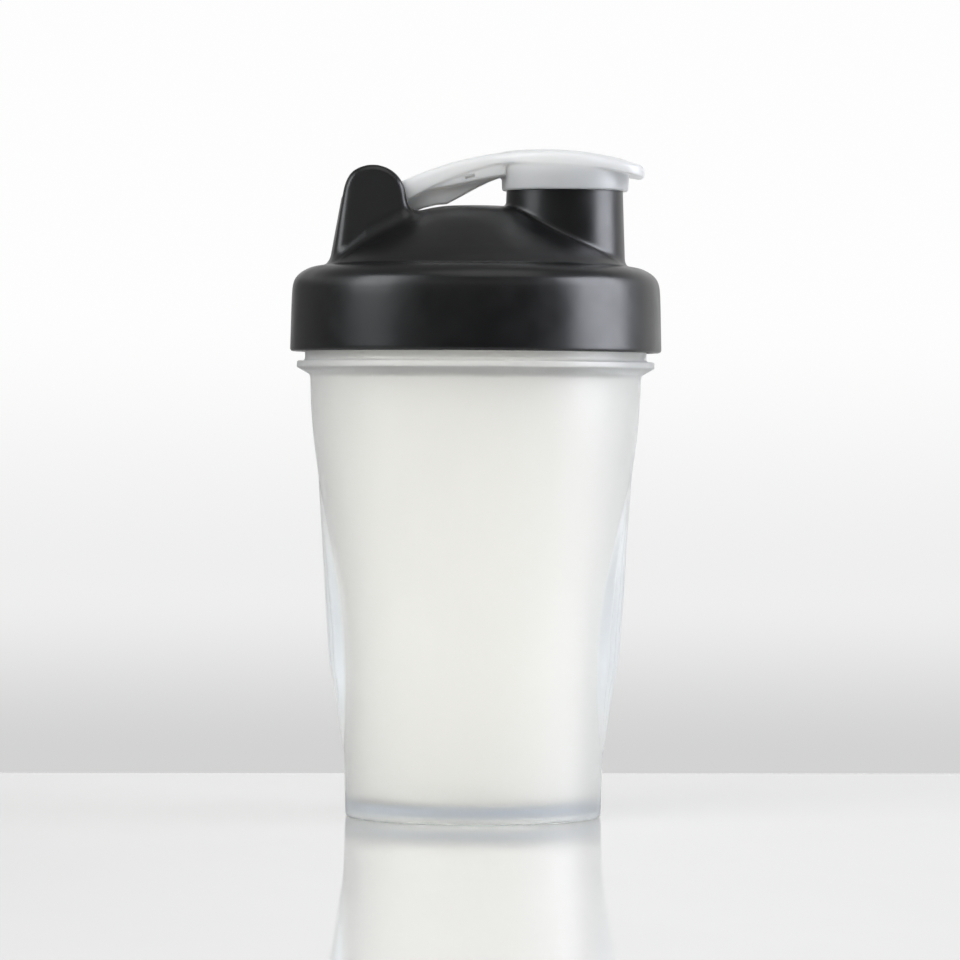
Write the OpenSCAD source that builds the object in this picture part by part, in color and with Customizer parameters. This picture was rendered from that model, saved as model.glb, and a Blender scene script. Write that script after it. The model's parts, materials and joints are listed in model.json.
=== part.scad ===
// Protein shaker bottle: a translucent cup, a screw lid with a pouring spout and a hinge
// tower, a flip cap that shuts the spout, two seals and a mixing grid under the lid.
// Millimetres, +Z up. The origin is the centre of the foot ring, on the surface the bottle
// stands on. The spout is on the +X side and the hinge of the flip cap on the -X side.

/* [Cup] */
// Diameter of the foot
base_d = 63.4; // [62.8:0.2:64]
// Diameter of the body just under the collar
body_d = 82; // [81.6:0.2:82.4]
// Diameter of the plain neck that carries the thread
neck_d = 84.6; // [84.4:0.1:84.8]
// Diameter of the collar under the lid
collar_d = 88.6; // [88:0.2:89]
// Thickness of the cup wall
cup_wall = 1.6; // [1.4:0.1:1.8]
// Height of the top of the collar
collar_z = 112.7; // [112:0.1:113]
// Height of the rim
rim_z = 130.6; // [130:0.1:130.6]

/* [Thread] */
// Rise of the lid for one turn
pitch = 5; // [4.5:0.1:5]
// Lugs of the cup thread, twelve to a turn
cup_lugs = 15; // [12:1:15]
// Lugs of the lid thread, twelve to a turn
lid_lugs = 12; // [9:1:12]

/* [Grips] */
// Raised ribs on each side grip
rib_count = 7; // [5:2:7]
// Distance between neighbouring ribs
rib_pitch = 3.4; // [3:0.2:3.6]
// How far round the cup the grips are turned from the spout line
grip_turn = -3; // [-6:1:6]

/* [Lid] */
// Diameter of the lid at its lower edge
lid_d = 92; // [91.8:0.1:92.4]
// Height of the lower edge of the lid
lid_z = 115; // [114.6:0.1:115.4]
// Height of the flat crown of the dome
crown_z = 151.3; // [151:0.1:151.5]
// Thickness of the dome
dome_wall = 1.8; // [1.6:0.1:2]

/* [Spout] */
// Distance of the spout from the axis of the bottle
spout_x = 21.8; // [21.6:0.1:21.9]
// Diameter of the bore
spout_bore_d = 24.4; // [24.2:0.1:24.6]
// Height of the rim of the spout
spout_z = 158.5; // [158:0.1:158.5]

/* [Flip cap] */
// Distance of the hinge from the axis of the bottle
hinge_x = 25.6; // [25.5:0.1:25.7]
// Height of the hinge
hinge_z = 152.9; // [152.8:0.1:153]
// Diameter of the hinge studs
stud_d = 4; // [3.6:0.1:4.2]
// Height of the highest point of the flip cap
cap_top_z = 165.1; // [164.9:0.1:165.3]
// Angle at which the flip cap stands open
cap_open = 0; // [0:5:140]

/* [Hidden] */
$fn = 96;

// Cup
base_r = base_d / 2;
body_r = body_d / 2;
neck_r = neck_d / 2;
collar_r = collar_d / 2;
neck_in_r = 40.3;           // inside of the neck
body_top_z = 109;           // where the body ends and the collar begins
floor_z = 3.8;              // top of the cup's floor
foot_in_r = 28.4;           // inside of the foot ring
foot_recess = 1.6;          // depth of the hollow under the floor
body_draft = 0.025;         // radius gained for each millimetre of height
flare_z = 26;               // the body starts to flare here
flare_h = 82;               // height over which it flares

// Grips: a lens-shaped pad on each side, with ribs on it
grip_low = [31.9, 15.6];    // radius and height of the ends and the knee of the rib crests
grip_knee = [36, 39];
grip_high = [38.6, 82];
grip_lens_w = 13.5;         // half the width of the lens
grip_lens_h = 33;           // half its height
grip_lens_z = 48;           // its middle
rib_w = 1.3;
rib_h = 0.6;

// Graduation on the back of the cup
tick_count = 8;
tick_first_z = 20;
tick_step = 10;

// Thread: trapezoid lugs, each a flat arc that is tilted to follow the helix
lugs_per_turn = 12;
lug_arc = 27;               // degrees of arc in each lug, which leaves a vent beside it
lug_depth = 1.2;
lug_root = 2;               // thickness of a lug at its wall and at its crest
lug_crest = 0.9;
lug_sink = 0.3;             // how far a root goes into its wall
thread_z = 118;             // the middle of the first cup lug
thread_gap = 1.45;          // the lid thread lies this far under the cup thread

// Lid
lid_r = lid_d / 2;
skirt_in_r = 44;
shoulder_r = 4;             // rounding between the skirt and the shoulder
shoulder_c = [lid_r - 4.55, 130.6];
dome_r = 36.8;              // foot of the dome
dome_z = 136.2;
crown_r = 7.5;              // the crown is flat inside this radius
crown_bend = 17;            // and bends with this radius into the cone
cone_a = 29.2;              // slope of the cone, in degrees
lip_r = 40;                 // outside and inside of the lip that enters the neck
lip_in_r = 38.9;
lip_z = 126.2;
lip_groove = [39.4, 127.3, 1.4];    // radius, foot and height of the groove that holds the grid
under_z = 132.1;            // underside of the lid over the rim of the cup
seal_r = 42.9;
seal_gap = 0.05;

// Spout
spout_r = spout_bore_d / 2;
spout_top_r = 14.3;
spout_foot_r = 15.1;

// Hinge tower: two ears with a slot between them, and a low back wall
tower_r = 8.2;              // rounding of the top of the ears
tower_foot_w = 12.7;        // half the width of the tower at its foot and at its top
tower_top_w = 8.2;
slot_w = 6;                 // half the width of the slot
slot_floor_z = 143;
slot_back_x = 32.2;
slot_back_z = 153.7;        // the open flip cap comes to rest on this back wall
tower_cone = [37.2, 34.6];  // radius about the bottle's axis at the foot and at the hinge
tower_front_x = 15.4;       // foot of the tower on the side of the dome
tower_sunk = 1;             // how far its foot goes into the shoulder
socket_w = 8.8;             // the blind sockets end this far from the middle
socket_clear = 0.06;

// Flip cap
cap_x = spout_x + 0.1;
cap_r = 15.9;
cap_skirt_z = 155;
cap_groove_r = [12, 14.7];  // the spout wall stands in this groove
groove_top_z = spout_z + 1.3;
plug_low_r = 11.5;          // the plug tapers, so that it leaves the bore as the cap swings
plug_z = 154;
core_r = 10;
core_top_z = 162;
arc_r = 81.5;               // the top of the cap is an arc of this radius
arc_x = 16.6;
skin_t = 2.7;
tab_x = 41.4;               // end of the thumb tab
tab_w = 13;                 // half its width
tab_corner = 7;
arm_w = 9.5;                // half the width of the arm at the cap
barrel_r = 4.5;
barrel_w = 5.7;             // half the width of the hinge barrel
web_w = 2;                  // half the width of the arm's web
arm_under_x = [-22, -15, 7];    // where the body under the arm's skin starts, widens and ends
arm_under_w = [4.4, 4.6, 7.7];  // half its width at those places
arm_side = [                // side outline of that body
    [7, 158.8], [0.5, 157.5], [-7.4, 155.8], [-14.8, 154.4], [-20, 152.5],
    [-22, 154], [-14.8, 157], [-7.4, 160.3], [7, 162.5]];
arm_web = [                 // side outline of the web
    [7, 158.8], [5.5, 158.2], [3, 157.2], [0.5, 156], [-4.4, 153.3], [-7.4, 151.65],
    [-10, 151.45], [-13, 150.7], [-16, 149.5], [-18.5, 148.9], [-22, 149.4],
    [-22, 155], [7, 160]];
stud_w = 8.5;               // half the length over both studs

// Mixing grid
grid_r = 38.8;
grid_bead = [39.25, 127.4, 1.2];    // radius, foot and height of the bead round its rim
grid_z = 126.4;
grid_t = 1.4;
grid_rim_h = 2.4;
grid_bar = 1.1;
grid_rings = [8, 14, 20, 26, 32];
grid_spokes = 16;

// Points of an arc about c, from angle a to angle b
function arc(c, r, a, b, n = 8) =
    [for (i = [0:n]) let (t = a + (b - a) * i / n) [c[0] + r * cos(t), c[1] + r * sin(t)]];

function clamp01(t) = max(0, min(1, t));
function ease(t) = t * t * (3 - 2 * t);

// Outer radius of the cup's body at height z
function body_at(z) =
    base_r + body_draft * z
    + (body_r - base_r - body_draft * body_top_z) * ease(clamp01((z - flare_z) / flare_h));

// Height of the dome's cone at radius r, lowered by drop
function cone_at(r, drop = 0) =
    crown_z - crown_bend * (1 - cos(cone_a))
    - (r - crown_r - crown_bend * sin(cone_a)) * tan(cone_a) - drop / cos(cone_a);

body_heights = [for (z = [4:5:104]) z];

module cup_shell() {
    outer = concat(
        arc([base_r - 1, 1], 1, -90, 0, 4),
        [for (z = body_heights) [body_at(z), z]],
        [[body_r, body_top_z],
         [collar_r, collar_z - 1.6],
         [collar_r, collar_z],
         [neck_r, collar_z],
         [neck_r, rim_z - 0.6],
         [neck_r - 0.6, rim_z]]);
    inner = concat(
        [[neck_in_r, rim_z],
         [neck_in_r, collar_z],
         [body_r - cup_wall, body_top_z]],
        [for (i = [len(body_heights) - 1:-1:1])
            [body_at(body_heights[i]) - cup_wall, body_heights[i]]],
        arc([body_at(6) - cup_wall - 2, floor_z + 2], 2, 0, -90, 4));
    foot = [[0, floor_z], [0, foot_recess], [foot_in_r, foot_recess], [foot_in_r + 0.8, 0]];
    rotate_extrude() polygon(concat(outer, inner, foot));
}

// The solid under the crests of the ribs, lowered by drop
module grip_turned(drop) {
    rotate_extrude()
        polygon([
            [27, grip_low[1]],
            [grip_low[0] - drop, grip_low[1]],
            [grip_knee[0] - drop, grip_knee[1]],
            [grip_high[0] - drop, grip_high[1]],
            [34, grip_high[1]],
            [body_at(grip_knee[1]) - 0.8, grip_knee[1]],
            [30.8, grip_low[1] + 3]]);
}

// A lens in the YZ plane, drawn out along +X
module grip_lens() {
    lens_r = (pow(grip_lens_h, 2) + pow(grip_lens_w, 2)) / (2 * grip_lens_w);
    translate([30, 0, grip_lens_z])
        rotate([90, 0, 90])
            linear_extrude(height = 12)
                intersection() {
                    translate([lens_r - grip_lens_w, 0]) circle(r = lens_r);
                    translate([grip_lens_w - lens_r, 0]) circle(r = lens_r);
                }
}

module grip() {
    intersection() {
        grip_turned(rib_h);
        grip_lens();
    }
    for (i = [0:rib_count - 1])
        intersection() {
            grip_turned(0);
            grip_lens();
            translate([30, (i - (rib_count - 1) / 2) * rib_pitch - rib_w / 2, 0])
                cube([12, rib_w, grip_high[1] + 1]);
        }
}

// One lug of a thread: side 1 stands out of a wall of radius r, side -1 stands into it
module lug(r, side) {
    sunk_root = lug_root + (lug_root - lug_crest) * lug_sink / lug_depth;
    rotate([atan(pitch / (2 * PI * r)), 0, 0])
        rotate([0, 0, -lug_arc / 2])
            rotate_extrude(angle = lug_arc)
                polygon([
                    [r - side * lug_sink, -sunk_root / 2],
                    [r + side * lug_depth, -lug_crest / 2],
                    [r + side * lug_depth, lug_crest / 2],
                    [r - side * lug_sink, sunk_root / 2]]);
}

// A thread of lugs that starts at the lug numbered first
module thread(r, side, z, first, count) {
    for (i = [first:first + count - 1])
        translate([0, 0, z + pitch * i / lugs_per_turn])
            rotate([0, 0, 360 * i / lugs_per_turn])
                lug(r, side);
}

module ticks() {
    for (i = [0:tick_count - 1]) {
        z = tick_first_z + i * tick_step;
        arc_len = i % 2 == 0 ? 16 : 9;
        rotate([0, 0, 80])
            rotate_extrude(angle = arc_len)
                translate([body_at(z) - 0.8, z]) square([1.1, 0.7]);
    }
}

module cup() {
    color([0.88, 0.9, 0.88, 0.6]) {
        cup_shell();
        for (side = [0, 180])
            rotate([0, 0, grip_turn + side]) grip();
        thread(neck_r, 1, thread_z, 0, cup_lugs);
        ticks();
    }
}

// Outside of the skirt, the shoulder and the dome
module lid_outside() {
    shoulder = arc(shoulder_c, shoulder_r, 4, 73, 8);
    crown = arc([crown_r, crown_z - crown_bend], crown_bend, 90 - cone_a, 90, 6);
    rotate_extrude()
        polygon(concat(
            [[0, lid_z], [lid_r - 0.4, lid_z], [lid_r, lid_z + 0.4]],
            shoulder,
            [[dome_r, dome_z], [dome_r - 0.3, cone_at(dome_r) - 0.2]],
            [[dome_r - 1.2, cone_at(dome_r - 1.2)]],
            crown,
            [[0, crown_z]]));
}

// Everything that is hollow inside the lid, which leaves a lip that enters the neck
module lid_inside() {
    crown = arc([crown_r, crown_z - crown_bend], crown_bend - dome_wall, 90 - cone_a, 90, 6);
    foot_r = dome_r - 1.9;
    rotate_extrude()
        polygon(concat(
            [[0, lid_z - 1], [skirt_in_r, lid_z - 1], [skirt_in_r, under_z - 1.7],
             [43.3, under_z], [lip_r, under_z], [lip_r, lip_z], [lip_in_r, lip_z],
             [lip_in_r, under_z + 1.1], [foot_r + 0.5, under_z + 2.2],
             [foot_r, cone_at(foot_r, dome_wall)]],
            crown,
            [[0, crown_z - dome_wall]]));
}

// Draws a side outline out to half-width w each way
module sideways(w) {
    translate([0, w, 0]) rotate([90, 0, 0]) linear_extrude(height = 2 * w) children();
}

module tower_side() {
    polygon(concat(
        [[-tower_front_x, dome_z - tower_sunk]],
        arc([-hinge_x, hinge_z], tower_r, 8, 170, 24),
        [[-tower_cone[0], dome_z - tower_sunk]]));
}

// The front and back faces of the tower, which lean in towards its top
module tower_width() {
    low = dome_z - tower_sunk;
    high = hinge_z + tower_r;
    translate([-45, 0, 0])
        rotate([90, 0, 90])
            linear_extrude(height = 45)
                polygon([
                    [-tower_foot_w, low], [tower_foot_w, low],
                    [tower_top_w, high], [-tower_top_w, high]]);
}

module tower() {
    slot = [
        [-slot_back_x, slot_floor_z], [-slot_back_x, slot_back_z], [-45, slot_back_z],
        [-45, hinge_z + 15], [-8, hinge_z + 15], [-8, slot_floor_z]];
    cone_slope = (tower_cone[0] - tower_cone[1]) / (hinge_z - dome_z);
    cone_h = hinge_z - dome_z + tower_r + 1;
    difference() {
        intersection() {
            sideways(tower_foot_w + 1) tower_side();
            tower_width();
            translate([0, 0, dome_z])
                cylinder(r1 = tower_cone[0], r2 = tower_cone[0] - cone_slope * cone_h, h = cone_h);
        }
        sideways(slot_w) polygon(slot);
        translate([-hinge_x, 0, hinge_z]) sideways(socket_w) circle(r = stud_d / 2 + socket_clear);
    }
}

module lid() {
    color([0.12, 0.12, 0.13]) {
        difference() {
            union() {
                lid_outside();
                translate([spout_x, 0, dome_z - 0.4])
                    cylinder(r1 = spout_foot_r, r2 = spout_top_r, h = spout_z - dome_z + 0.4);
                tower();
            }
            lid_inside();
            translate([0, 0, lip_groove[1]]) cylinder(r = lip_groove[0], h = lip_groove[2]);
            translate([spout_x, 0, dome_z - 6])
                cylinder(r = spout_r, h = spout_z - dome_z + 12);
        }
        thread(skirt_in_r, -1, thread_z - thread_gap, 2, lid_lugs);
    }
}

// Side outline of the cap's skin: the arc of the top and a parallel one under it
module skin_side(x0, x1, t) {
    centre = [arc_x, cap_top_z - arc_r];
    a0 = acos((x0 - arc_x) / arc_r);
    a1 = acos((x1 - arc_x) / arc_r);
    polygon(concat(arc(centre, arc_r, a1, a0, 16), arc(centre, arc_r - t, a0, a1, 16)));
}

// Outline of the cap from above: the arm, the round cover and the thumb tab
module cap_plan() {
    translate([cap_x, 0]) circle(r = cap_r);
    polygon([
        [-hinge_x, -barrel_w], [-15, -barrel_w], [cap_x - 10, -arm_w], [cap_x, -arm_w],
        [cap_x, arm_w], [cap_x - 10, arm_w], [-15, barrel_w], [-hinge_x, barrel_w]]);
    translate([cap_x, -tab_w]) square([tab_x - tab_corner - cap_x, 2 * tab_w]);
    translate([cap_x, tab_corner - tab_w]) square([tab_x - cap_x, 2 * (tab_w - tab_corner)]);
    for (y = [tab_corner - tab_w, tab_w - tab_corner])
        translate([tab_x - tab_corner, y]) circle(r = tab_corner);
}

// The curved top of the cap, with the arm and the thumb tab
module cap_skin() {
    intersection() {
        translate([0, 0, hinge_z]) linear_extrude(height = 15) cap_plan();
        sideways(20) skin_side(-hinge_x, tab_x + 1, skin_t);
    }
}

// The round cover, with the groove that the rim of the spout stands in
module cap_cover() {
    difference() {
        intersection() {
            translate([cap_x, 0, cap_skirt_z])
                cylinder(r = cap_r, h = cap_top_z - cap_skirt_z + 1);
            sideways(20) skin_side(cap_x - cap_r - 1, cap_x + cap_r + 1, 14);
        }
        translate([cap_x, 0, cap_skirt_z - 1])
            cylinder(r = cap_groove_r[1], h = groove_top_z - cap_skirt_z + 1);
    }
    translate([cap_x, 0, plug_z])
        cylinder(r1 = plug_low_r, r2 = cap_groove_r[0], h = groove_top_z + 0.5 - plug_z);
}

// The stiffening of the arm: a narrower body under its skin and a web that reaches further down
module arm() {
    under = [for (i = [0:2]) [arm_under_x[i], -arm_under_w[i]]];
    intersection() {
        sideways(arm_w) polygon(arm_side);
        translate([0, 0, hinge_z - 5])
            linear_extrude(height = 20)
                polygon(concat(under, [for (i = [2:-1:0]) [arm_under_x[i], arm_under_w[i]]]));
    }
    sideways(web_w) polygon(arm_web);
}

module flip_cap() {
    color([0.93, 0.94, 0.94]) {
        difference() {
            union() {
                cap_skin();
                cap_cover();
                arm();
            }
            translate([cap_x, 0, plug_z - 1]) cylinder(r = core_r, h = core_top_z - plug_z + 1);
        }
        translate([-hinge_x, 0, hinge_z]) sideways(barrel_w) circle(r = barrel_r);
        translate([-hinge_x, 0, hinge_z]) sideways(stud_w) circle(r = stud_d / 2);
    }
}

module flat_ring(r_in, r_out, z, h) {
    translate([0, 0, z])
        difference() {
            cylinder(r = r_out, h = h);
            translate([0, 0, -1]) cylinder(r = r_in, h = h + 2);
        }
}

module lid_seal_ring() {
    color([0.85, 0.87, 0.88])
        flat_ring(neck_in_r, seal_r, rim_z + seal_gap, under_z - rim_z - 2 * seal_gap);
}

module spout_seal() {
    color([0.85, 0.87, 0.88])
        translate([cap_x, 0, 0])
            flat_ring(cap_groove_r[0] + 0.15, cap_groove_r[1] - 0.1, spout_z + seal_gap, 1.2);
}

module mixing_grid() {
    color([0.92, 0.93, 0.93]) {
        flat_ring(grid_r - 1.6, grid_r, grid_z, grid_rim_h);
        flat_ring(grid_r - 1, grid_bead[0], grid_bead[1], grid_bead[2]);
        for (r = grid_rings)
            flat_ring(r - grid_bar / 2, r + grid_bar / 2, grid_z, grid_t);
        for (i = [0:grid_spokes - 1])
            rotate([0, 0, 360 * i / grid_spokes])
                translate([grid_rings[0], -grid_bar / 2, grid_z])
                    cube([grid_r - 1 - grid_rings[0], grid_bar, grid_t]);
    }
}

// Swings its children open about the hinge
module opened() {
    translate([-hinge_x, 0, hinge_z])
        rotate([0, -cap_open, 0])
            translate([hinge_x, 0, -hinge_z])
                children();
}

cup();
lid();
opened() flip_cap();
lid_seal_ring();
opened() spout_seal();
mixing_grid();
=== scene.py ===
"""Looks of the protein shaker bottle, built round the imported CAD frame.

Lengths in the shape code are millimetres in the CAD's own frame; meshes are written in metres.
The cup is one grid of points that follows its profile, with the grips, ribs, graduation and
thread as changes of radius. The lid, the flip cap and the grid are closed surfaces of signed
distance functions, so their rounded edges and blends come from the shape itself. The two seals
are turned rings. The table, the world and the lights only stage the picture.
"""

import json
import math

import bpy
import numpy as np
from mathutils import Euler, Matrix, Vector


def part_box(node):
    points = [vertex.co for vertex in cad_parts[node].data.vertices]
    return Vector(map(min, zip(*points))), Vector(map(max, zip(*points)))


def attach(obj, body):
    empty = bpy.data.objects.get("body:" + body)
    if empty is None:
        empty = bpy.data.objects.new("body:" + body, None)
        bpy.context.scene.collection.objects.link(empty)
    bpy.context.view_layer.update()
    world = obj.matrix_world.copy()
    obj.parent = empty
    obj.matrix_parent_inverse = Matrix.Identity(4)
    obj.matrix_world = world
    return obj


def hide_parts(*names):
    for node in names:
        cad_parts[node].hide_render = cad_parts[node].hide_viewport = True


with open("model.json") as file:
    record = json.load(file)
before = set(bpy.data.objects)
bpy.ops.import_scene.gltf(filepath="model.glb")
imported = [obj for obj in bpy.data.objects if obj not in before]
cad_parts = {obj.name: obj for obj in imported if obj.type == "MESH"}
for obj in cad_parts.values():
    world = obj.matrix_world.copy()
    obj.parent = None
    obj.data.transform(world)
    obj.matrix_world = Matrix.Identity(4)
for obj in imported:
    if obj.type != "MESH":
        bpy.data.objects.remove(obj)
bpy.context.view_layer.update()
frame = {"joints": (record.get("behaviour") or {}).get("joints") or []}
MM = 0.001

# ---------------------------------------------------------------- sizes read from the frame


def node_box(node):
    """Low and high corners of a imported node's box, in millimetres."""
    low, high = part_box(node)
    return [c / MM for c in low], [c / MM for c in high]


CUP_HIGH = node_box("cup")[1]
LID_LOW, LID_HIGH = node_box("lid")
CAP_HIGH = node_box("flip_cap")[1]
RING_LOW, RING_HIGH = node_box("lid_seal_ring")
SEAL_LOW, SEAL_HIGH = node_box("spout_seal")
GRID_LOW, GRID_HIGH = node_box("mixing_grid")

RIM_Z = CUP_HIGH[2]
COLLAR_R = CUP_HIGH[0]
LID_R = LID_HIGH[0]
SKIRT_Z = LID_LOW[2]
CAP_TOP_Z = CAP_HIGH[2]
TAB_X = CAP_HIGH[0]
HINGE = next(j for j in frame["joints"] if j["name"] == "flip_hinge")
HINGE_X = HINGE["pos_m"][0] / MM
HINGE_Z = HINGE["pos_m"][2] / MM
SPOUT_X = (SEAL_LOW[0] + SEAL_HIGH[0]) / 2 - 0.1
SPOUT_Z = SEAL_LOW[2] - 0.05
CAP_X = SPOUT_X + 0.1

# ---------------------------------------------------------------- curves and outlines


def smooth_curve(points, steps=6):
    """Points of a smooth curve through the given ones (Catmull-Rom)."""
    p = [np.array(q, float) for q in points]
    p = [2 * p[0] - p[1], *p, 2 * p[-1] - p[-2]]
    made = []
    for a, b, c, d in zip(p, p[1:], p[2:], p[3:]):
        for i in range(steps):
            t = i / steps
            square = (2 * a - 5 * b + 4 * c - d) * t**2
            cube = (3 * b - a - 3 * c + d) * t**3
            made.append(0.5 * (2 * b + (c - a) * t + square + cube))
    made.append(p[-2])
    return [tuple(q) for q in made]


def arc(centre, radius, start, end, steps=8):
    """Points of an arc, angles in degrees."""
    angles = np.radians(np.linspace(start, end, steps + 1))
    return [(centre[0] + radius * math.cos(a), centre[1] + radius * math.sin(a)) for a in angles]


def outline_distance(points, u, v):
    """Signed distance from (u, v) to a closed outline, negative inside."""
    nearest = np.full(u.shape, 1e9)
    inside = np.zeros(u.shape, bool)
    for (x0, y0), (x1, y1) in zip(points, points[1:] + points[:1]):
        ex, ey = x1 - x0, y1 - y0
        length = ex * ex + ey * ey
        if length < 1e-12:
            continue
        wx, wy = u - x0, v - y0
        t = np.clip((wx * ex + wy * ey) / length, 0, 1)
        nearest = np.minimum(nearest, (wx - ex * t) ** 2 + (wy - ey * t) ** 2)
        if y0 != y1:
            inside ^= ((y0 <= v) != (y1 <= v)) & (wx < wy * ex / ey)
    nearest = np.sqrt(nearest)
    return np.where(inside, -nearest, nearest)


class Outline:
    """A closed outline whose distances are kept in a fine table."""

    def __init__(self, points, step=0.1, margin=2.0):
        corners = np.array(points, float)
        self.low = corners.min(0) - margin
        self.step = step
        counts = np.ceil((corners.max(0) + margin - self.low) / step).astype(int) + 1
        self.last = counts - 1
        u, v = [low + step * np.arange(n) for low, n in zip(self.low, counts)]
        self.table = outline_distance(points, *np.meshgrid(u, v, indexing="ij"))

    def __call__(self, u, v):
        """Signed distance at (u, v); past the table it grows with the way back to it."""
        a, b = (u - self.low[0]) / self.step, (v - self.low[1]) / self.step
        in_a, in_b = np.clip(a, 0, self.last[0] - 1e-6), np.clip(b, 0, self.last[1] - 1e-6)
        i, j = in_a.astype(int), in_b.astype(int)
        s, t = in_a - i, in_b - j
        low = self.table[i, j] * (1 - s) + self.table[i + 1, j] * s
        high = self.table[i, j + 1] * (1 - s) + self.table[i + 1, j + 1] * s
        return low * (1 - t) + high * t + np.hypot(a - in_a, b - in_b) * self.step


def join(a, b, blend):
    """Union of two distances, with a fillet."""
    h = np.maximum(blend - np.abs(a - b), 0) / blend
    return np.minimum(a, b) - h * h * blend / 4


def cut(a, b, blend):
    """a without b, with rounded edges."""
    return -join(-a, b, blend)


def common(a, b, blend):
    """What a and b share, with rounded edges."""
    return -join(-a, -b, blend)


def plate(outline, across, half_width, rounding):
    """A side outline drawn out to half_width each way, with rounded edges."""
    a = outline + rounding
    b = np.abs(across) - half_width + rounding
    outside = np.sqrt(np.maximum(a, 0) ** 2 + np.maximum(b, 0) ** 2)
    return np.minimum(np.maximum(a, b), 0) + outside - rounding


# ---------------------------------------------------------------- surface of a distance function

NORMAL_REACH = 0.25     # normals are measured over this share of a cell each way


def gradient(shape, p, reach=0.06):
    """Slope of a distance function at the points p, measured over reach each way."""
    made = np.empty_like(p)
    for axis in range(3):
        step = np.zeros(3)
        step[axis] = reach
        made[:, axis] = shape(*(p + step).T) - shape(*(p - step).T)
    return made / (2 * reach)


def onto(shape, p, passes):
    """Moves points onto the surface."""
    for _ in range(passes):
        g = gradient(shape, p)
        p = p - g * (shape(*p.T) / np.maximum((g * g).sum(1), 0.25))[:, None]
    return p


def net(shape, low, high, step):
    """Points and quads of the surface shape = 0 in a box, by surface nets."""
    axes = [np.arange(a - 1.5 * step, b + 2.5 * step, step) for a, b in zip(low, high)]
    d = shape(*np.meshgrid(*axes, indexing="ij"))
    cells = tuple(n - 1 for n in d.shape)
    crossings = np.zeros(cells, np.int16)
    total = np.zeros(cells + (3,))
    for axis in range(3):
        u, v = [a for a in range(3) if a != axis]
        for ou in (0, 1):
            for ov in (0, 1):
                start = [slice(0, n) for n in cells]
                start[u] = slice(ou, cells[u] + ou)
                start[v] = slice(ov, cells[v] + ov)
                end = list(start)
                end[axis] = slice(1, cells[axis] + 1)
                a, b = d[tuple(start)], d[tuple(end)]
                hit = (a < 0) != (b < 0)
                crossings += hit
                total[..., axis] += np.where(hit, a / np.where(hit, a - b, 1), 0)
                total[..., u] += hit * ou
                total[..., v] += hit * ov
    active = crossings > 0
    number = np.full(cells, -1)
    number[active] = np.arange(active.sum())
    places = np.argwhere(active) + total[active] / crossings[active][:, None]
    points = places * step + np.array([a[0] for a in axes])
    quads = []
    for axis in range(3):
        u, v = [(1, 2), (2, 0), (0, 1)][axis]
        span = [slice(1, n) for n in cells]
        span[axis] = slice(0, cells[axis])
        ahead = list(span)
        ahead[axis] = slice(1, cells[axis] + 1)
        a, b = d[tuple(span)] < 0, d[tuple(ahead)] < 0
        found = np.argwhere(a != b)
        at = found + np.array([0 if i == axis else 1 for i in range(3)])
        du, dv = np.eye(3, dtype=int)[u], np.eye(3, dtype=int)[v]
        corners = [number[tuple(q.T)] for q in (at - du - dv, at - dv, at, at - du)]
        quad = np.stack(corners, 1)
        outward = a[tuple(found.T)]
        quad[~outward] = quad[~outward][:, ::-1]
        quads.append(quad)
    return points, np.concatenate(quads)


def even_out(shape, points, quads, passes=2):
    """Spreads the points evenly over the surface."""
    edges = np.concatenate([quads[:, [i, (i + 1) % 4]] for i in range(4)])
    for _ in range(passes):
        total, count = np.zeros_like(points), np.zeros(len(points))
        for a, b in (edges.T, edges.T[::-1]):
            for axis in range(3):
                total[:, axis] += np.bincount(a, points[b, axis], len(points))
            count += np.bincount(a, minlength=len(points))
        points = onto(shape, points * 0.4 + 0.6 * total / count[:, None], 1)
    return onto(shape, points, 2)


def new_piece(name, points, faces, material, body, slot, *stands_for, normals=None):
    """A smooth mesh object from points in millimetres, which rides on a body."""
    mesh = bpy.data.meshes.new(name)
    mesh.from_pydata(np.asarray(points) * MM, [], faces)
    mesh.polygons.foreach_set("use_smooth", [True] * len(mesh.polygons))
    if normals is not None:
        mesh.normals_split_custom_set_from_vertices(normals)
    mesh.materials.append(material)
    piece = bpy.data.objects.new(name, mesh)
    bpy.context.scene.collection.objects.link(piece)
    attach(piece, body)
    if stands_for:
        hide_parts(*stands_for)
    return piece


def solid(name, shape, box, step, material, body, slot, *stands_for):
    """A piece whose surface is where a distance function is 0, made in cells of one step."""
    points, quads = net(shape, *box, step)
    points = even_out(shape, points, quads)
    normals = gradient(shape, points, NORMAL_REACH * step)
    normals /= np.linalg.norm(normals, axis=1)[:, None]
    return new_piece(name, points, quads.tolist(), material, body, slot, *stands_for, normals=normals)


def turned(name, outline, material, body, slot, *stands_for, columns=160, centre=(0, 0)):
    """A ring: a closed outline of (radius, height) turned about an upright axis."""
    rows = len(outline)
    points, faces = [], []
    for i in range(columns):
        a = 2 * math.pi * i / columns
        points += [(centre[0] + r * math.cos(a), centre[1] + r * math.sin(a), z) for r, z in outline]
    for i in range(columns):
        j = (i + 1) % columns
        for k in range(rows):
            m = (k + 1) % rows
            faces.append((i * rows + k, j * rows + k, j * rows + m, i * rows + m))
    return new_piece(name, points, faces, material, body, slot, *stands_for)


def rounded_section(r_in, r_out, z_low, z_high, rounding):
    """The section of a ring with rounded corners, anticlockwise."""
    r = rounding
    return (
        arc((r_out - r, z_low + r), r, -90, 0, 4)
        + arc((r_out - r, z_high - r), r, 0, 90, 4)
        + arc((r_in + r, z_high - r), r, 90, 180, 4)
        + arc((r_in + r, z_low + r), r, 180, 270, 4)
    )


# ---------------------------------------------------------------- materials

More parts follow.
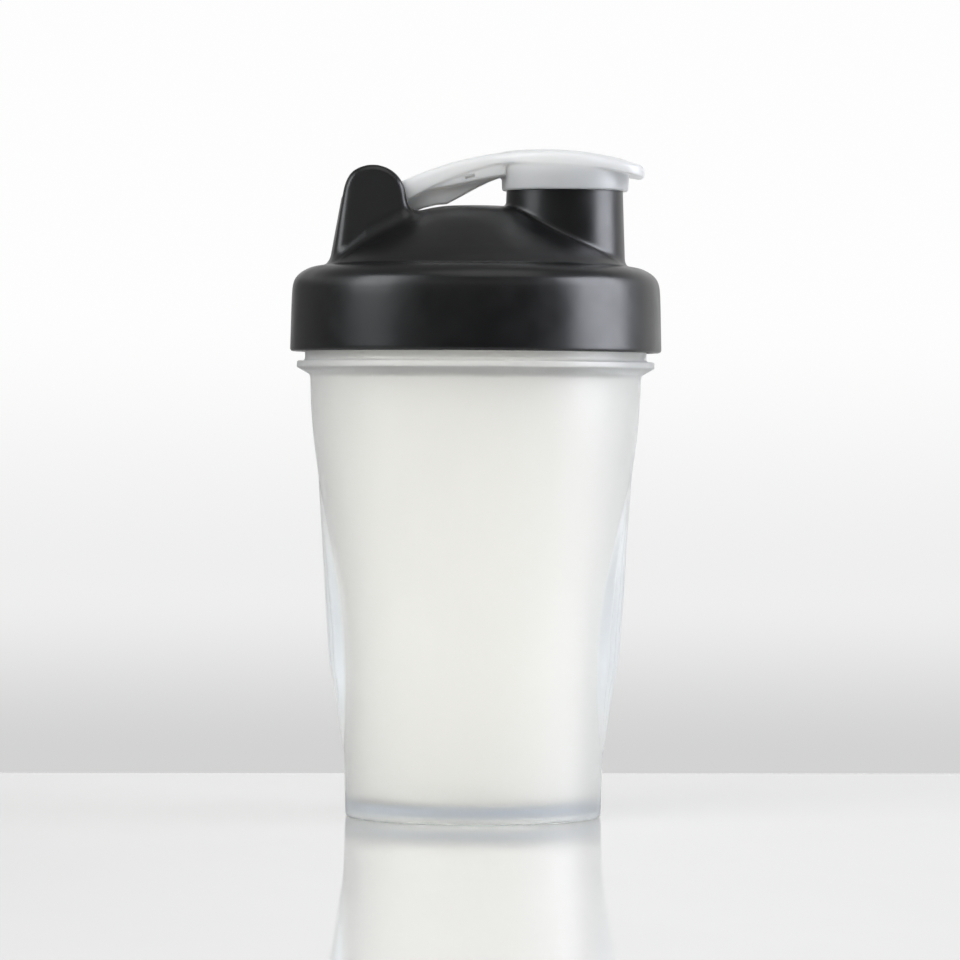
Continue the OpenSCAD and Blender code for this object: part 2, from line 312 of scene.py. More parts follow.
FROST_TINT = (0.52, 0.70, 0.96, 1)      # colour that stays after a way through the cup's plastic
FROST_DENSITY = 17
WHITE_DEPTH = 0.007                     # how far light spreads inside the plastic, in metres
SILICONE_DEPTH = 0.003


class Nodes:
    """A material's node tree with one Principled shader, and short ways to add pattern nodes."""

    def __init__(self, name):
        self.material = bpy.data.materials.new(name)
        self.material.use_nodes = True
        self.tree = self.material.node_tree
        self.tree.nodes.clear()
        output = self.tree.nodes.new("ShaderNodeOutputMaterial")
        self.shader = self.tree.nodes.new("ShaderNodeBsdfPrincipled")
        self.tree.links.new(self.shader.outputs[0], output.inputs[0])
        self.output = output
        place = self.tree.nodes.new("ShaderNodeTexCoord")
        self.place = place.outputs["Object"]

    def set(self, **values):
        """Sets inputs of the shader by name."""
        for name, value in values.items():
            self.shader.inputs[name.replace("_", " ")].default_value = value
        return self

    def link(self, source, socket):
        """Joins a pattern to an input of the shader."""
        self.tree.links.new(source, self.shader.inputs[socket])

    def stretch(self, scale):
        """Object coordinates scaled along each axis."""
        node = self.tree.nodes.new("ShaderNodeMapping")
        node.inputs["Scale"].default_value = scale
        self.tree.links.new(self.place, node.inputs["Vector"])
        return node.outputs[0]

    def noise(self, scale, detail=2.0, vector=None):
        """A noise pattern."""
        node = self.tree.nodes.new("ShaderNodeTexNoise")
        node.inputs["Scale"].default_value = scale
        node.inputs["Detail"].default_value = detail
        self.tree.links.new(vector or self.place, node.inputs["Vector"])
        return node.outputs["Fac"]

    def spread(self, value, low, high):
        """A pattern between 0.3 and 0.7 spread over low to high."""
        node = self.tree.nodes.new("ShaderNodeMapRange")
        node.inputs["From Min"].default_value = 0.3
        node.inputs["From Max"].default_value = 0.7
        node.inputs["To Min"].default_value = low
        node.inputs["To Max"].default_value = high
        self.tree.links.new(value, node.inputs["Value"])
        return node.outputs["Result"]

    def ramp(self, value, *stops):
        """A pattern turned into colours."""
        node = self.tree.nodes.new("ShaderNodeValToRGB")
        ramp = node.color_ramp
        while len(ramp.elements) < len(stops):
            ramp.elements.new(0.5)
        for element, (position, colour) in zip(ramp.elements, stops):
            element.position = position
            element.color = (*colour, 1)
        self.tree.links.new(value, node.inputs["Fac"])
        return node.outputs["Color"]

    def bump(self, height, strength, distance):
        """A fine unevenness of the surface."""
        node = self.tree.nodes.new("ShaderNodeBump")
        node.inputs["Strength"].default_value = strength
        node.inputs["Distance"].default_value = distance
        self.tree.links.new(height, node.inputs["Height"])
        self.link(node.outputs[0], "Normal")


def black_plastic():
    """Satin black polypropylene: a fine spark-eroded texture and a faint mottle."""
    n = Nodes("black_plastic")
    n.set(IOR=1.49, Specular_IOR_Level=0.5)
    mottle = n.noise(60, 3)
    n.link(n.ramp(mottle, (0.35, (0.0026, 0.0027, 0.0031)), (0.7, (0.0045, 0.0047, 0.0055))), "Base Color")
    n.link(n.spread(n.noise(140, 4), 0.28, 0.37), "Roughness")
    n.bump(n.noise(2600, 2), 0.12, 0.00005)
    return n.material


def white_plastic():
    """Semi-gloss white polypropylene, which lets a little light in."""
    n = Nodes("white_plastic")
    n.set(IOR=1.49, Subsurface_Weight=0.8, Subsurface_Scale=WHITE_DEPTH)
    n.shader.inputs["Subsurface Radius"].default_value = (1.0, 0.95, 0.9)
    cloud = n.noise(45, 3)
    n.link(n.ramp(cloud, (0.3, (0.84, 0.85, 0.85)), (0.7, (0.88, 0.885, 0.88))), "Base Color")
    n.link(n.spread(n.noise(220, 3), 0.28, 0.38), "Roughness")
    n.bump(n.noise(1800, 2), 0.08, 0.00004)
    return n.material


def frosted_plastic():
    """Milky translucent polypropylene with a fine frost and faint upright flow lines."""
    n = Nodes("frosted_plastic")
    n.set(IOR=1.45, Transmission_Weight=0.8)
    flow = n.noise(1, 3, n.stretch((90, 90, 9)))
    n.link(n.ramp(flow, (0.3, (0.975, 0.965, 0.93)), (0.7, (0.995, 0.985, 0.95))), "Base Color")
    n.link(n.spread(n.noise(320, 3), 0.36, 0.46), "Roughness")
    n.bump(n.noise(2200, 2), 0.1, 0.00004)
    depth = n.tree.nodes.new("ShaderNodeVolumeAbsorption")
    depth.inputs["Color"].default_value = FROST_TINT
    depth.inputs["Density"].default_value = FROST_DENSITY
    n.tree.links.new(depth.outputs[0], n.output.inputs["Volume"])
    return n.material


def silicone():
    """Soft translucent silicone with a dull skin."""
    n = Nodes("silicone")
    n.set(IOR=1.41, Subsurface_Weight=0.5, Subsurface_Scale=SILICONE_DEPTH)
    n.link(n.ramp(n.noise(70, 2), (0.3, (0.62, 0.65, 0.67)), (0.7, (0.70, 0.72, 0.73))), "Base Color")
    n.link(n.spread(n.noise(500, 3), 0.5, 0.62), "Roughness")
    n.bump(n.noise(2400, 2), 0.1, 0.00005)
    return n.material


FROSTED = frosted_plastic()
BLACK = black_plastic()
WHITE = white_plastic()
SILICONE = silicone()

# ---------------------------------------------------------------- the cup

WALL = 1.6
NECK_R = 42.3
NECK_IN_R = 40.3
COLLAR_Z = 112.7
BODY_TOP_Z = 109.2
FLOOR_Z = 3.8
PITCH = 5.0
THREAD_Z = 118.0
THREAD_DEPTH = 1.2
THREAD_TURN = (-13.5, 433.5)
GRIP_TURN = -3.0
GRIP_RIBS = 7
GRIP_HALF = 23.0
GRIP_Z = (16.0, 85.0)
RIB_DEPTH = 1.1
TICK_HEIGHTS = range(20, 100, 10)
TICK_H = 0.7
TICK_PROUD = 0.3
TICK_START = 80.0
TICK_ARCS = (16.0, 9.0)
BODY = [
    (31.7, 0), (31.85, 8), (32.1, 16), (32.6, 26), (33.3, 36), (34.1, 46), (35.05, 56), (36.1, 64),
    (37.15, 72), (38.1, 79), (38.9, 85), (40.1, 94), (40.7, 101), (41.0, BODY_TOP_Z),
]
GRIP_CREST = [
    (32.1, 15), (32.7, 19), (33.3, 23), (33.9, 27.5), (34.5, 31), (35.2, 34.5), (35.75, 37.5),
    (36.1, 41), (36.4, 46), (37.05, 55), (37.5, 63.5), (38.0, 72), (38.5, 79), (38.9, 85),
]


def radius_on(curve, z):
    """Radius of a curve of (radius, height) at the heights z."""
    r, h = np.array(smooth_curve(curve)).T
    return np.interp(z, h, r)


def grip_relief(angle, z):
    """How far the grips and their ribs stand out of the body."""
    proud = np.maximum(radius_on(GRIP_CREST, z) - radius_on(BODY, z), 0)
    t = np.clip((z - GRIP_Z[0]) / (GRIP_Z[1] - GRIP_Z[0]), 0, 1)
    half = GRIP_HALF * np.sin(np.pi * t**0.82) ** 0.6 + 0.01
    made = np.zeros(np.broadcast(angle, z).shape)
    for side in (0, 180):
        turn = (angle - GRIP_TURN - side + 180) % 360 - 180
        u = np.clip(turn / half, -1, 1)
        edge = np.clip((1 - np.abs(u)) * half / 2.2, 0, 1)
        pad = edge * edge * (3 - 2 * edge)
        groove = 0.5 - 0.5 * np.cos(2 * np.pi * (u * GRIP_RIBS / 2 + 0.5))
        depth = np.minimum(RIB_DEPTH, 0.6 * proud) * (1 - groove) ** 1.5
        made = np.maximum(made, (proud - depth) * pad)
    return made


def tick_relief(angle, z):
    """Height of the graduation on the back, one long and one short tick in turn."""
    made = np.zeros(np.broadcast(angle, z).shape)
    for i, low in enumerate(TICK_HEIGHTS):
        turn = (angle - TICK_START) % 360
        span = (low - 0.01 <= z) & (z <= low + TICK_H + 0.01) & (turn <= TICK_ARCS[i % 2])
        made = np.where(span, TICK_PROUD, made)
    return made


def thread_relief(angle, z):
    """Height of the cup's thread above the neck."""
    low, high = THREAD_TURN
    made = np.zeros(np.broadcast(angle, z).shape)
    for turn in (0, 360):
        phi = angle + turn
        off = np.abs(z - THREAD_Z - PITCH * phi / 360)
        ends = np.clip(np.minimum(phi - low, high - phi) / 6, 0, 1)
        made = np.maximum(made, ends * THREAD_DEPTH * np.clip((1 - off) / 0.55, 0, 1))
    return made


def cup_rows():
    """The cup's section from the middle of its underside, up the outside and down the inside.
    Each row is (radius, height, relief), where relief is 1 on the body and 2 on the neck."""
    rows = [(r, 1.6, 0) for r in (0.5, 8, 16, 22, 26, 27.8)]
    rows += [(r, z, 0) for r, z in arc((28.0, 1.2), 0.4, 90, 0, 3)]
    rows += [(r, z, 0) for r, z in arc((29.0, 0.5), 0.5, 180, 270, 3)]
    rows += [(r, z, 0) for r, z in arc((30.7, 1.0), 1.0, -90, -10, 6)]
    heights = np.concatenate([np.arange(2.5, 16, 2.25), np.arange(16, 86, 0.9), np.arange(86, 108.5, 1.6)])
    edges = np.array([-0.12, 0, TICK_H, TICK_H + 0.12])
    ticks = np.add.outer(np.array(TICK_HEIGHTS), edges).ravel()
    apart = np.abs(np.subtract.outer(heights, ticks)).min(1) > 0.25
    heights = np.sort(np.concatenate([heights[apart], ticks]))
    rows += [(r, z, 1) for r, z in zip(radius_on(BODY, heights), heights)]
    rows += [(41.05, 108.9, 0), (41.3, 109.4, 0), (42.0, 109.85, 0), (43.2, 110.5, 0)]
    rows += [(r, z, 0) for r, z in arc((COLLAR_R - 0.45, 111.35), 0.45, -35, 0, 3)]
    rows += [(r, z, 0) for r, z in arc((COLLAR_R - 0.4, COLLAR_Z - 0.4), 0.4, 0, 90, 4)]
    rows += [(43.3, COLLAR_Z, 0), (42.9, COLLAR_Z, 0), (42.5, COLLAR_Z + 0.2, 0)]
    rows += [(NECK_R, z, 2) for z in np.arange(COLLAR_Z + 0.6, RIM_Z - 0.8, 0.3)]
    rows += [(r, z, 0) for r, z in arc((NECK_R - 0.7, RIM_Z - 0.7), 0.7, 0, 90, 4)]
    rows += [(r, z, 0) for r, z in arc((NECK_IN_R + 0.7, RIM_Z - 0.7), 0.7, 90, 180, 4)]
    rows += [(NECK_IN_R, z, 0) for z in (126, 121, 116, 113.4)]
    rows += [(40.2, 112, 0), (39.8, 110.8, 0), (39.5, 109.6, 0)]
    inner = np.arange(106, 7, -3.0)
    rows += [(r - WALL, z, 0) for r, z in zip(radius_on(BODY, inner), inner)]
    rows += [(r, z, 0) for r, z in arc((27.9, FLOOR_Z + 2.4), 2.4, 0, -90, 7)]
    rows += [(r, FLOOR_Z, 0) for r in (24, 18, 10, 0.5)]
    return rows


def make_cup():
    """The cup's rows turned about the axis, with finer columns where the grips are."""
    coarse = np.arange(27, 153, 1.4)
    fine = np.arange(-27, 27, 0.42)
    angles = np.concatenate([fine, coarse, fine + 180, coarse + 180]) + GRIP_TURN
    rows = cup_rows()
    points = []
    for r, z, relief in rows:
        radius = np.full(angles.shape, float(r))
        if relief == 1:
            radius = radius + grip_relief(angles, np.full(angles.shape, z))
            radius = radius + tick_relief(angles, np.full(angles.shape, z))
        if relief == 2:
            radius = radius + thread_relief(angles % 360, np.full(angles.shape, z))
        a = np.radians(angles)
        points.append(np.stack([radius * np.cos(a), radius * np.sin(a), np.full(a.shape, z)], 1))
    columns = len(angles)
    points = np.concatenate(points)
    faces = []
    for k in range(len(rows) - 1):
        for i in range(columns):
            j = (i + 1) % columns
            faces.append((k * columns + i, k * columns + j, (k + 1) * columns + j, (k + 1) * columns + i))
    low_hub, high_hub = len(points), len(points) + 1
    last = (len(rows) - 1) * columns
    points = np.concatenate([points, [[0, 0, rows[0][1]], [0, 0, rows[-1][1]]]])
    for i in range(columns):
        j = (i + 1) % columns
        faces.append((low_hub, j, i))
        faces.append((high_hub, last + i, last + j))
    return new_piece("cup_body", points, faces, FROSTED, "cup", "cup_plastic", "cup")


# ---------------------------------------------------------------- the lid

SPOUT_BORE = 12.2
SPOUT_TOP_R = 14.3
SPOUT_FOOT_R = 15.1
SPOUT_FOOT_Z = 136.2
TOWER_R = 8.2
TOWER_HALF = 9.65       # half the width of the tower at the hinge
EAR_DRAFT = 0.178       # how much wider it gets for each millimetre down
TOWER_CONE_R = 37.0     # cone about the bottle's axis that bounds the back of the tower
TOWER_CONE_DRAFT = 0.155
TOWER_CONE_COS = 0.988
TOWER_FILLET = ((-36, -27), (1.2, 4.5))     # x positions, and the fillet of the tower's foot there
SPOUT_FILLET = 1.1
LID_CELL = 0.6
SLOT_HALF = 6.0
SLOT_FLOOR_Z = 143.0
SLOT_BACK = (-32.2, 153.7)
SOCKET_R = 2.06
SOCKET_HALF = 8.8
LID_THREAD_Z = THREAD_Z - 1.45
LID_THREAD_TURN = (46.5, 403.5)
SKIRT_IN_R = 44.0
LIP_R = 40.0
LIP_IN_R = 38.9
LIP_Z = 126.2
UNDER_Z = 132.1

LID_OUTSIDE = Outline((
    [(-5, SKIRT_Z)]
    + arc((LID_R - 0.7, SKIRT_Z + 0.7), 0.7, -90, 0, 6)
    + smooth_curve(
        [(45.9, 120), (45.75, 126), (45.6, 129.5), (45.35, 131.6), (44.7, 133.2), (43.3, 134.6),
         (41.2, 135.7), (39.4, 136.15), (37.7, 136.45), (36.6, 137.1), (35.3, 138.1), (33.6, 139.3),
         (31.3, 140.8), (26.3, 143.8), (19.3, 147.7), (15, 149.6), (11.8, 150.55), (8, 151.15),
         (4, 151.3), (0, 151.3)], 5)
    + [(-5, 151.3)]
))
LID_INSIDE = Outline([
    (-5, 100), (SKIRT_IN_R, 100), (SKIRT_IN_R, 130.4), (43.3, UNDER_Z), (LIP_R, UNDER_Z), (LIP_R, LIP_Z),
    (LIP_IN_R, LIP_Z), (LIP_IN_R, 133.2), (35.4, 134.3), (34.7, 136.4), (31.0, 138.7), (25.5, 142),
    (18.5, 145.8), (11.5, 148.6), (7, 149.4), (-5, 149.5),
])
TOWER_SIDE = Outline((
    [(-14.5, 135)]
    + arc((HINGE_X, HINGE_Z), TOWER_R, 8, 170, 22)
    + [(-37.6, 135)]
))
SLOT_SIDE = Outline([
    (SLOT_BACK[0], SLOT_FLOOR_Z), (-5, SLOT_FLOOR_Z), (-5, 175), (-50, 175), (-50, SLOT_BACK[1]),
    (SLOT_BACK[0], SLOT_BACK[1]),
])


def tower_distance(x, y, z, rho):
    """The hinge tower with its slot and sockets."""
    half = TOWER_HALF + EAR_DRAFT * (HINGE_Z - z)
    tower = plate(TOWER_SIDE(x, z), y, half, 1.7)
    side = (rho - TOWER_CONE_R + (z - SPOUT_FOOT_Z) * TOWER_CONE_DRAFT) * TOWER_CONE_COS
    tower = common(tower, side, 2.6)
    slot = np.maximum(SLOT_SIDE(x, z), np.abs(y) - SLOT_HALF)
    socket = np.maximum(np.hypot(x - HINGE_X, z - HINGE_Z) - SOCKET_R, np.abs(y) - SOCKET_HALF)
    return cut(cut(tower, slot, 0.9), socket, 0.3)


def lid_thread_distance(x, y, z, rho):
    """The helix inside the skirt."""
    phi = np.degrees(np.arctan2(y, x)) % 360
    made = np.full(x.shape, 1e3)
    for turn in (0, 360):
        at = phi + turn
        off = np.abs(z - LID_THREAD_Z - PITCH * at / 360)
        half = 1 - 0.55 * (SKIRT_IN_R - rho) / THREAD_DEPTH
        past = np.maximum(LID_THREAD_TURN[0] - at, at - LID_THREAD_TURN[1])
        ends = past * math.radians(SKIRT_IN_R)
        ridge = np.maximum((off - half) * 0.9, SKIRT_IN_R - THREAD_DEPTH - rho)
        made = np.minimum(made, np.maximum(np.maximum(ridge, rho - SKIRT_IN_R - 0.4), ends))
    return made


def lid_distance(x, y, z):
    """The whole lid."""
    rho = np.hypot(x, y)
    lid = LID_OUTSIDE(rho, z)
    from_spout = np.hypot(x - SPOUT_X, y)
    taper = (SPOUT_FOOT_R - SPOUT_TOP_R) / (SPOUT_Z - SPOUT_FOOT_Z)
    spout = from_spout - SPOUT_FOOT_R + taper * (z - SPOUT_FOOT_Z)
    spout = common(common(spout, z - SPOUT_Z, 0.7), SPOUT_FOOT_Z - 1.5 - z, 0.2)
    lid = join(lid, spout, SPOUT_FILLET)
    lid = join(lid, tower_distance(x, y, z, rho), np.interp(x, *TOWER_FILLET))
    lid = cut(lid, LID_INSIDE(rho, z), 0.5)
    bore = np.maximum(from_spout - SPOUT_BORE, 128 - z)
    lid = cut(lid, bore, 0.8)
    return join(lid, lid_thread_distance(x, y, z, rho), 0.4)


def make_lid():
    box = ([-LID_R, -LID_R, SKIRT_Z], [LID_R, LID_R, HINGE_Z + TOWER_R])
    return solid("lid_shell", lid_distance, box, LID_CELL, BLACK, "lid", "lid_plastic", "lid")


# ---------------------------------------------------------------- the flip cap

ARC_R = 81.5
ARC_X = 16.6
COVER_R = 15.9
COVER_Z = 155.0
GROOVE_R = (12.0, 14.7)
GROOVE_Z = SPOUT_Z + 1.3
PLUG_Z = 154.0
PLUG_LOW_R = 11.5
CORE_R = 10.0
CORE_Z = 162.0
SKIN_T = 2.7
CROWN = 0.0045          # the top falls by this times the square of the distance from its middle
TAB_HALF = 13.0
TAB_CORNER = 7.0
ARM_HALF = 9.5
BARREL_R = 4.5
BARREL_HALF = 5.7
SLIT = (-1.7, 158.25)
SLIT_LEAN = 14.0
ARM_UNDER = ((-22, -15, 7), (4.4, 4.6, 7.7))
WEB_HALF = 2.0
STUD_R = 2.0
STUD_HALF = 8.5
SLIT_HALF = 1.0
SLIT_R = 0.34
SLIT_DEPTH = 1.4
CAP_CELL = 0.36

ARM_PLAN = Outline([
    (HINGE_X, -BARREL_HALF), (-15, -BARREL_HALF), (-8, -6.2), (2, -7.6),
    (CAP_X - 10, -ARM_HALF), (CAP_X, -ARM_HALF), (CAP_X, ARM_HALF), (CAP_X - 10, ARM_HALF),
    (2, 7.6), (-8, 6.2), (-15, BARREL_HALF), (HINGE_X, BARREL_HALF),
])
ARM_SIDE = Outline([
    (7, 158.8), (0.5, 157.5), (-7.4, 155.8), (-14.8, 154.4), (-20, 152.5), (-22, 154),
    (-14.8, 157), (-7.4, 160.3), (7, 162.5),
])
ARM_WEB = Outline([
    (7, 158.8), (5.5, 158.2), (3, 157.2), (0.5, 156), (-4.4, 153.3), (-7.4, 151.7),
    (-10, 151.5), (-13, 150.75), (-16, 149.6), (-18.5, 149), (-22, 149.4), (-22, 155), (7, 160),
])


def cap_plan_distance(x, y):
    """The cap's outline from above: the round cover, the arm and the thumb tab."""
    cover = np.hypot(x - CAP_X, y) - COVER_R
    arm = ARM_PLAN(x, y)
    middle = (CAP_X + TAB_X) / 2
    a = np.abs(x - middle) - (TAB_X - CAP_X) / 2 + TAB_CORNER
    b = np.abs(y) - TAB_HALF + TAB_CORNER
    corner = np.hypot(np.maximum(a, 0), np.maximum(b, 0))
    tab = corner + np.minimum(np.maximum(a, b), 0) - TAB_CORNER
    return join(join(cover, arm, 5.0), tab, 4.0)


def slit_distance(x, y, z, half):
    """The short slanted slit in each side of the arm."""
    lean = math.radians(SLIT_LEAN)
    along = (x - SLIT[0]) * math.cos(lean) + (z - SLIT[1]) * math.sin(lean)
    over = (z - SLIT[1]) * math.cos(lean) - (x - SLIT[0]) * math.sin(lean)
    round_end = np.hypot(np.maximum(np.abs(along) - SLIT_HALF, 0), over)
    return np.maximum(round_end - SLIT_R, half - SLIT_DEPTH - np.abs(y))


def cap_distance(x, y, z):
    """The whole flip cap."""
    from_arc = np.hypot(x - ARC_X, z + CROWN * y * y - (CAP_TOP_Z - ARC_R))
    top = from_arc - ARC_R
    thick = SKIN_T + np.clip((4 - x) / 20, 0, 1.2) * 2.0
    plan = cap_plan_distance(x, y)
    skin = common(common(plan, top, 1.6), ARC_R - thick - from_arc, 0.5)
    skin = np.maximum(skin, HINGE_X - x)
    from_cover = np.hypot(x - CAP_X, y)
    wall = from_cover - COVER_R + np.maximum(162 - z, 0) * 0.04
    cover = common(common(wall, COVER_Z - z, 0.6), top, 1.6)
    off_middle = np.abs(from_cover - sum(GROOVE_R) / 2)
    groove = np.maximum(off_middle - (GROOVE_R[1] - GROOVE_R[0]) / 2, z - GROOVE_Z)
    below = np.maximum(from_cover - GROOVE_R[1], z - GROOVE_Z)
    cover = cut(cover, np.minimum(groove, below), 0.4)
    plug_r = PLUG_LOW_R + (GROOVE_R[0] - PLUG_LOW_R) * np.clip((z - PLUG_Z) / 6, 0, 1)
    plug = common(common(from_cover - plug_r, PLUG_Z - z, 0.5), z - GROOVE_Z - 0.5, 0.2)
    half = np.interp(x, *ARM_UNDER)
    side = common(ARM_SIDE(x, z), np.abs(y) - half, 0.5)
    side = cut(side, slit_distance(x, y, z, half), 0.2)
    web = plate(ARM_WEB(x, z), y, WEB_HALF, 0.4)
    cap = join(join(skin, side, 0.6), web, 0.7)
    cap = join(join(cap, cover, 0.9), plug, 0.5)
    cap = cut(cap, np.maximum(from_cover - CORE_R, z - CORE_Z), 0.5)
    from_hinge = np.hypot(x - HINGE_X, z - HINGE_Z)
    barrel = common(from_hinge - BARREL_R, np.abs(y) - BARREL_HALF, 0.6)
    stud = common(from_hinge - STUD_R, np.abs(y) - STUD_HALF, 0.5)
    return join(join(cap, barrel, 1.2), stud, 0.3)


def make_flip_cap():
    box = ([HINGE_X - BARREL_R, -COVER_R, HINGE_Z - BARREL_R], [TAB_X, COVER_R, CAP_TOP_Z])
    return solid("flip_cap_shell", cap_distance, box, CAP_CELL, WHITE, "flip_cap", "cap_plastic", "flip_cap")


# ---------------------------------------------------------------- the grid and the seals

GRID_R = 38.8
GRID_RINGS = (8, 14, 20, 26, 32)
GRID_SPOKES = 16
GRID_BAR = 0.55
GRID_T = 1.4
GRID_RIM = 0.8          # half the width of its rim
GRID_CELL = 0.45


def grid_distance(x, y, z):
    """Rings and spokes inside a higher rim."""
    rho = np.hypot(x, y)
    low = GRID_LOW[2]
    step = 2 * math.pi / GRID_SPOKES
    phi = np.arctan2(y, x)
    off = (phi + step / 2) % step - step / 2
    bars = np.maximum(np.abs(rho * np.sin(off)) - GRID_BAR, GRID_RINGS[0] - rho)
    for r in GRID_RINGS:
        bars = join(bars, np.abs(rho - r) - GRID_BAR, 0.5)
    bars = common(np.maximum(bars, rho - GRID_R + 0.5), np.abs(z - low - GRID_T / 2) - GRID_T / 2, 0.4)
    across = np.abs(rho - GRID_R + GRID_RIM) - GRID_RIM
    upright = np.abs(z - (low + GRID_HIGH[2]) / 2) - (GRID_HIGH[2] - low) / 2
    rim = common(across, upright, 0.4)
    return join(bars, rim, 0.6)


def make_grid():
    box = ([-GRID_R, -GRID_R, GRID_LOW[2]], [GRID_R, GRID_R, GRID_HIGH[2]])
    return solid("strainer_grid", grid_distance, box, GRID_CELL, WHITE, "lid", "grid_plastic", "mixing_grid")


def make_seals():
    section = rounded_section(NECK_IN_R, RING_HIGH[0], RING_LOW[2], RING_HIGH[2], 0.35)
    turned("lid_gasket", section, SILICONE, "seal_ring", "silicone", "lid_seal_ring")
    width = (SEAL_HIGH[0] - SEAL_LOW[0]) / 2
    section = rounded_section(GROOVE_R[0] + 0.15, width, SEAL_LOW[2], SEAL_HIGH[2], 0.3)
    turned(
        "spout_gasket", section, SILICONE, "flip_cap", "silicone", "spout_seal",
        columns=96, centre=(CAP_X, 0),
    )


# ---------------------------------------------------------------- camera, light and floor

CAMERA_DISTANCE = 1.341
CAMERA_HEIGHT = 0.100
CAMERA_X = 0.00125
CAMERA_PITCH = -0.711
CAMERA_ROLL = 0.35
LENS = 202.8
SENSOR = 36.0
FLOOR_BACK = 0.161
FLOOR_TOP = -0.0001     # just under the foot, so that the two faces don't coincide
FLOOR_HALF = 1.2
FLOOR_FRONT = 0.62
FLOOR_THICK = 0.03
FLOOR_TURN = 4.5
WALL_DIRECTION = (0.38, 0.92, 0)        # where the lit wall stands
COOL = (0.94, 0.97, 1.06)
SOFTBOXES = (           # name, azimuth, elevation, distance, size, power, tint, rays that see it
    ("right_softbox", 84, 19, 1.15, (0.85, 1.0), 22, COOL, "glossy"),
    ("left_softbox", -68, 28, 1.3, (0.7, 1.0), 10, (0.96, 1.0, 1.02), "glossy"),
    ("right_fill", 84, 25, 1.15, (0.85, 1.0), 6, COOL, "diffuse"),
    ("front_fill", -40, 24, 1.6, (1.4, 1.0), 16, (1, 1, 1), "diffuse"),
    ("top_softbox", 20, 74, 1.2, (0.9, 0.9), 2.4, (1, 1, 1), "all"),
)


def make_camera():
    camera = bpy.data.cameras.new("camera")
    camera.lens = LENS
    camera.sensor_width = SENSOR
    place = bpy.data.objects.new("camera", camera)
    place.location = (CAMERA_X, -CAMERA_DISTANCE, CAMERA_HEIGHT)
    upright = Euler((math.radians(90 + CAMERA_PITCH), 0, 0)).to_matrix()
    roll = Euler((0, 0, math.radians(CAMERA_ROLL))).to_matrix()
    place.rotation_euler = (upright @ roll).to_euler()
    bpy.context.scene.collection.objects.link(place)
    bpy.context.scene.camera = place


def make_floor():
    """A thick pale glossy slab, whose back edge shows as the horizon."""
    material = Nodes("pale_table")
    material.set(IOR=1.5)
    cloud = material.noise(6, 4, material.stretch((1, 0.35, 1)))
    pale = material.ramp(cloud, (0.3, (0.75, 0.75, 0.735)), (0.7, (0.83, 0.83, 0.815)))
    material.link(pale, "Base Color")
    material.link(material.spread(material.noise(14, 3), 0.03, 0.07), "Roughness")
    sides = (-FLOOR_HALF, FLOOR_HALF)
    corners = [(x, -FLOOR_FRONT) for x in sides] + [(x, FLOOR_BACK) for x in sides[::-1]]
    points = [(x, y, z) for z in (-FLOOR_THICK, FLOOR_TOP) for x, y in corners]
    faces = [(3, 2, 1, 0), (4, 5, 6, 7)] + [(i, (i + 1) % 4, (i + 1) % 4 + 4, i + 4) for i in range(4)]
    mesh = bpy.data.meshes.new("table")
    mesh.from_pydata(points, [], faces)
    mesh.materials.append(material.material)
    table = bpy.data.objects.new("table", mesh)
    table.rotation_euler = (0, 0, math.radians(FLOOR_TURN))
    bpy.context.scene.collection.objects.link(table)
    bevel = table.modifiers.new("edge", "BEVEL")
    bevel.width = 0.0008
    bevel.segments = 3


def softbox(name, azimuth, elevation, distance, size, power, tint, seen_by):
    """An area light; azimuth 0 is the camera's side and 90 is +X. It is never seen directly.
    Glossy and diffuse ones light only that kind of ray, and the diffuse ones transmission too."""
    light = bpy.data.lights.new(name, "AREA")
    light.shape = "RECTANGLE"
    light.size, light.size_y = size
    light.energy = power
    light.color = tint
    a, e = math.radians(azimuth), math.radians(elevation)
    aim = Vector((0, 0, 0.1))
    away = Vector((math.sin(a) * math.cos(e), -math.cos(a) * math.cos(e), math.sin(e)))
    place = bpy.data.objects.new(name, light)
    place.location = aim + away * distance
    place.rotation_euler = away.to_track_quat("Z", "Y").to_euler()
    place.visible_camera = False
    place.visible_glossy = seen_by != "diffuse"
    place.visible_diffuse = seen_by != "glossy"
    place.visible_transmission = seen_by != "glossy"
    bpy.context.scene.collection.objects.link(place)


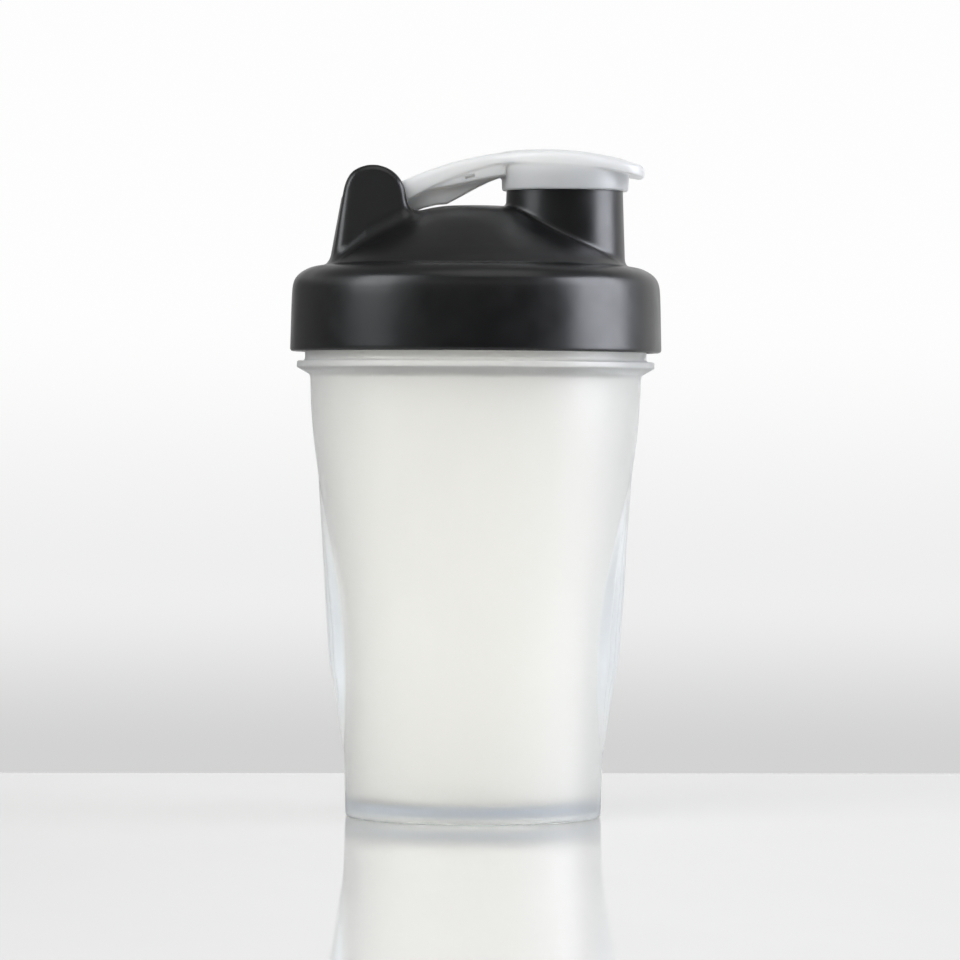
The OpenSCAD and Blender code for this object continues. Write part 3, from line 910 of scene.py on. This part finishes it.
def make_world():
    """What the camera sees is a wall that gets paler upwards. Rays that have passed through the
    cup see a brighter glow. All others see a wall on one side and a band of light above."""
    world = bpy.data.worlds.new("studio")
    world.use_nodes = True
    bpy.context.scene.world = world
    tree = world.node_tree
    tree.nodes.clear()
    output = tree.nodes.new("ShaderNodeOutputWorld")
    place = tree.nodes.new("ShaderNodeTexCoord")
    split = tree.nodes.new("ShaderNodeSeparateXYZ")
    tree.links.new(place.outputs["Generated"], split.inputs[0])

    def ramp(value, low, high, *stops):
        """Brightness by stops, along a value that runs from low to high."""
        span = tree.nodes.new("ShaderNodeMapRange")
        span.inputs["From Min"].default_value = low
        span.inputs["From Max"].default_value = high
        tree.links.new(value, span.inputs["Value"])
        node = tree.nodes.new("ShaderNodeValToRGB")
        node.color_ramp.interpolation = "EASE"
        while len(node.color_ramp.elements) < len(stops):
            node.color_ramp.elements.new(0.5)
        for element, (position, level) in zip(node.color_ramp.elements, stops):
            element.position = position
            element.color = (level, level, level, 1)
        tree.links.new(span.outputs["Result"], node.inputs["Fac"])
        return node.outputs["Color"]

    height = split.outputs["Z"]
    seen = ramp(height, -0.075, 0.02, (0.0, 0.62), (0.12, 0.65), (0.45, 0.86), (1.0, 0.985))
    glow = ramp(height, -0.12, 0.2, (0.0, 0.9), (1.0, 1.6))
    turn = tree.nodes.new("ShaderNodeVectorMath")
    turn.operation = "DOT_PRODUCT"
    turn.inputs[1].default_value = WALL_DIRECTION
    tree.links.new(place.outputs["Generated"], turn.inputs[0])
    behind = ramp(
        turn.outputs["Value"], -0.6, 1.0,
        (0.0, 0.02), (0.2, 0.05), (0.35, 0.22), (0.55, 0.24), (0.75, 0.2), (0.96, 0.92),
    )
    above = ramp(height, 0.08, 1.0, (0.0, 0.0), (0.28, 0.62), (0.65, 0.22), (1.0, 0.3))
    lit = tree.nodes.new("ShaderNodeMix")
    lit.data_type = "RGBA"
    lit.blend_type = "LIGHTEN"
    lit.inputs["Factor"].default_value = 1
    tree.links.new(above, lit.inputs["A"])
    tree.links.new(behind, lit.inputs["B"])

    ray = tree.nodes.new("ShaderNodeLightPath")
    colour = lit.outputs["Result"]
    for kind, level in (("Is Transmission Ray", glow), ("Is Camera Ray", seen)):
        choice = tree.nodes.new("ShaderNodeMix")
        choice.data_type = "RGBA"
        tree.links.new(ray.outputs[kind], choice.inputs["Factor"])
        tree.links.new(colour, choice.inputs["A"])
        tree.links.new(level, choice.inputs["B"])
        colour = choice.outputs["Result"]
    background = tree.nodes.new("ShaderNodeBackground")
    tree.links.new(colour, background.inputs["Color"])
    tree.links.new(background.outputs[0], output.inputs[0])


def make_studio():
    make_camera()
    make_floor()
    make_world()
    for light in SOFTBOXES:
        softbox(*light)
    bpy.context.scene.view_settings.view_transform = "Standard"


make_studio()
make_cup()
make_lid()
make_flip_cap()
make_grid()
make_seals()
